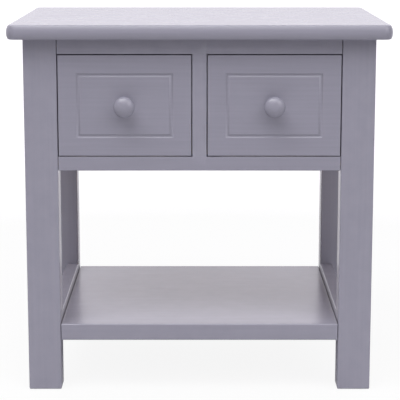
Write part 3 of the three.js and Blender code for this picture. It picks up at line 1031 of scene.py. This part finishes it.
knobs = [make_knob(side) for side in SIDES]
print("knobs stand", round(-knobs[0].bound_box[0][1] / MM), "mm in front of the middle")

# %% [markdown]
# ## Knob screws
#
# A pan-head machine screw comes through each front from inside the drawer. Its head is a shallow
# dome with the same cross recess as the others.

# %% Knob screws
PAN_HEAD = 4.0
PAN_HEIGHT = 2.5
PAN_CROWN = 1.2
SCREW_CHAMFER = 0.5


def make_knob_screw(side):
    node = f"{side}_drawer_knob_screw"
    low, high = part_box(node)
    length = (high.y - low.y) / MM
    profile = [
        *arc((0, PAN_CROWN), (PAN_HEAD, PAN_CROWN), -90, 0, 8), (PAN_HEAD, PAN_HEIGHT),
        (KNOB_SCREW_SHANK, PAN_HEIGHT), (KNOB_SCREW_SHANK, length - SCREW_CHAMFER),
        (KNOB_SCREW_SHANK - SCREW_CHAMFER, length), (0, length),
    ]
    foot = Vector(((low.x + high.x) / 2, high.y, (low.z + high.z) / 2))
    screw = make_object(f"{node}_turned", aim(turn(profile, 24), foot, FORWARDS))
    cut_cross(screw, foot, (0, 1, 0))
    return hand_over(screw, zinc, node)


knob_screws = [make_knob_screw(side) for side in SIDES]
print(len(knob_screws), "knob screws")

# %% [markdown]
# ## Dowels and cam bolts
#
# Birch dowels line up the frame's joints and plated bolts reach from the shelf's cams into the
# rails. A dowel's ends are chamfered so that it starts easily, and its flank is fluted, which lets
# glue and air escape: every other line of points along it is drawn in a little.

# %% Dowels and bolts
DOWEL_CHAMFER = 0.8
FLUTE_DEPTH = 0.25
FLUTES = 18
BOLT_HEAD = 3.0
BOLT_NECK = 2.2
BOLT_COLLAR = 9.0
BOLT_SHANK = 3.0
BOLT_RIM = 0.4
BOLT_TAPER = 0.6
BOLT_TIP = 0.8
LONG_AXES = {"x": Vector((1, 0, 0)), "y": Vector((0, 1, 0)), "z": Vector((0, 0, 1))}


def lie_of(node):
    """A pin's start, its axis name, its length and its radius, the last two in millimetres."""
    low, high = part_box(node)
    size = high - low
    axis = "xyz"[list(size).index(max(size))]
    way = LONG_AXES[axis]
    centre = (low + high) / 2
    return centre - way * max(size) / 2, axis, max(size) / MM, min(size) / 2 / MM


def make_dowel(node):
    start, axis, length, radius = lie_of(node)
    tip = radius - DOWEL_CHAMFER
    profile = [(0, 0), (tip, 0), (radius, DOWEL_CHAMFER), (radius, length - DOWEL_CHAMFER),
               (tip, length), (0, length)]
    bm = turn(profile, 2 * FLUTES)
    for vert in bm.verts:
        line = round(math.atan2(vert.co.y, vert.co.x) / math.tau * 2 * FLUTES)
        if line % 2 and Vector(vert.co.xy).length > (radius - FLUTE_DEPTH) * MM:
            vert.co.xy *= 1 - FLUTE_DEPTH / radius
    dowel = make_object(f"{node}_fluted", aim(bm, start, LONG_AXES[axis]))
    return hand_over(dowel, wood[axis], node)


def make_cam_bolt(end, side):
    node = f"shelf_cam_bolt_{end}_{side}"
    start, _, length, head = lie_of(node)
    outward = Vector((1, 0, 0))
    if side == "left":
        start = start + outward * length * MM
        outward = -outward
    profile = [
        (0, 0), (head - BOLT_RIM, 0), (head, BOLT_RIM), (head, BOLT_HEAD),
        (BOLT_NECK, BOLT_HEAD + BOLT_TAPER), (BOLT_NECK, BOLT_COLLAR),
        (BOLT_SHANK, BOLT_COLLAR + BOLT_RIM), (BOLT_SHANK, length - BOLT_TIP),
        (BOLT_SHANK - BOLT_TIP, length), (0, length),
    ]
    bolt = make_object(f"{node}_turned", aim(turn(profile, 32), start, outward))
    return hand_over(bolt, zinc, node)


dowels = [make_dowel(node) for node in sorted(frame["nodes"]) if "dowel" in node]
cam_bolts = [make_cam_bolt(end, side) for side in SIDES for end in ENDS]
print(len(dowels), "dowels and", len(cam_bolts), "cam bolts")

# %% [markdown]
# ## Floor
#
# The table stands on a pale round studio floor. It fades out towards its rim, so there is no
# horizon behind the table, only an even white. To the table it is a matt floor that throws some
# light back up. Seen directly it is lifted towards white, which keeps the shadow on it light.

# %% Floor
FLOOR_RADIUS = 1.5
FADE_FROM = 0.8
FADE_TO = 1.45
FLOOR_WHITE = (0.75, 0.75, 0.76, 1.0)
FLOOR_GLOW = 0.9
FLOOR_DROP = 0.5


def make_floor():
    bm = bmesh.new()
    bmesh.ops.create_circle(bm, cap_ends=True, segments=96, radius=FLOOR_RADIUS)
    floor = make_object("studio_floor", bm)
    floor.location.z = -FLOOR_DROP * MM
    material, tree, shader, place = new_material("studio_floor_white")
    shader.inputs["Base Color"].default_value = FLOOR_WHITE
    shader.inputs["Roughness"].default_value = 0.9
    shader.inputs["Specular IOR Level"].default_value = 0.0
    seen = put(tree, "ShaderNodeLightPath").outputs["Is Camera Ray"]
    glow = put(tree, "ShaderNodeEmission", {"Strength": 1.0}).outputs["Emission"]
    lit = put(
        tree, "ShaderNodeMixShader",
        {0: maths(tree, "MULTIPLY", seen, FLOOR_GLOW), 1: shader.outputs["BSDF"], 2: glow},
    ).outputs["Shader"]
    span = put(tree, "ShaderNodeVectorMath", {0: place}, operation="LENGTH").outputs["Value"]
    gone = remap(tree, span, FADE_FROM, FADE_TO, 0.0, 1.0)
    clear = put(tree, "ShaderNodeBsdfTransparent").outputs["BSDF"]
    faded = put(tree, "ShaderNodeMixShader", {0: gone, 1: lit, 2: clear}).outputs["Shader"]
    tree.links.new(faded, tree.nodes["Material Output"].inputs["Surface"])
    floor.data.materials.append(material)
    return floor


studio_floor = make_floor()
print(studio_floor.name, "has a radius of", FLOOR_RADIUS, "m")

# %% [markdown]
# ## Studio light
#
# Four round softboxes shape the table: one high on the left, two in front at different heights,
# and a lower one on the right. The room adds a little light from above, and its white back wall
# adds more, which reaches the shelf through the open bay. In glossy reflections the room itself is
# one even white, so that only the softboxes stand out in them.

# %% Studio light
SURROUND_SEEN = 1.18
SURROUND_TINT = (1.0, 0.975, 1.02, 1.0)
ROOM_LIGHT = 0.36
WALL_LIGHT = 1.35
LAMP_AIM = Vector((0, 0, 0.28))
LAMPS = {
    # name: (direction, distance in metres, size in metres, power in watts)
    "high_left_key": ((-0.5, -0.32, 0.8), 3.0, 1.4, 23),
    "high_front_softbox": ((-0.1, -0.42, 0.9), 3.0, 2.0, 35),
    "front_softbox": ((-0.1, -0.65, 0.76), 3.0, 2.6, 19),
    "right_fill": ((0.56, -0.6, 0.57), 3.0, 2.2, 27),
}


def make_surround():
    world = bpy.data.worlds.new("white_surround")
    bpy.context.scene.world = world
    world.use_nodes = True
    tree = world.node_tree
    rays = put(tree, "ShaderNodeLightPath").outputs
    mirrored = maths(tree, "MAXIMUM", rays["Is Camera Ray"], rays["Is Glossy Ray"])
    way = put(tree, "ShaderNodeTexCoord").outputs["Generated"]
    sides = put(tree, "ShaderNodeSeparateXYZ", {0: way}).outputs
    room = remap(tree, sides["Z"], 0.1, 0.45, 0.0, ROOM_LIGHT)
    wall = remap(tree, sides["Y"], 0.3, 0.8, 0.0, WALL_LIGHT)
    lighting = maths(tree, "ADD", room, wall)
    level = remap(tree, mirrored, 0.0, 1.0, lighting, SURROUND_SEEN)
    background = tree.nodes["Background"]
    background.inputs["Color"].default_value = SURROUND_TINT
    tree.links.new(level, background.inputs["Strength"])


def make_lamp(name, direction, distance, size, power):
    data = bpy.data.lights.new(name, "AREA")
    data.shape = "DISK"
    data.size = size
    data.energy = power
    lamp = bpy.data.objects.new(name, data)
    way = Vector(direction).normalized()
    lamp.location = LAMP_AIM + way * distance
    lamp.rotation_euler = way.to_track_quat("Z", "Y").to_euler()
    bpy.context.scene.collection.objects.link(lamp)
    return lamp


make_surround()
lamps = [make_lamp(name, *settings) for name, settings in LAMPS.items()]
bpy.context.scene.view_settings.view_transform = "Standard"
print(len(lamps), "lamps")

# %% [markdown]
# ## Camera
#
# A long lens looks at the table from in front, from a little above the tabletop, so that the top
# shows as a thin strip and the shelf's upper face can be seen.

# %% Camera
LENS = 134.2
CAMERA_PLACE = Vector((-0.0008, -1.683, 0.508))
CAMERA_PITCH = math.radians(10.17)
SENSOR_WIDTH = 36
SHIFT_X = 0.0033
SHIFT_Y = -0.05

camera_data = bpy.data.cameras.new("front_camera")
camera_data.lens = LENS
camera_data.sensor_width = SENSOR_WIDTH
camera_data.shift_x = SHIFT_X
camera_data.shift_y = SHIFT_Y
camera = bpy.data.objects.new("front_camera", camera_data)
camera.location = CAMERA_PLACE
camera.rotation_euler = (math.pi / 2 - CAMERA_PITCH, 0, 0)
bpy.context.scene.collection.objects.link(camera)
bpy.context.scene.camera = camera
print("camera at", [round(v, 3) for v in CAMERA_PLACE])
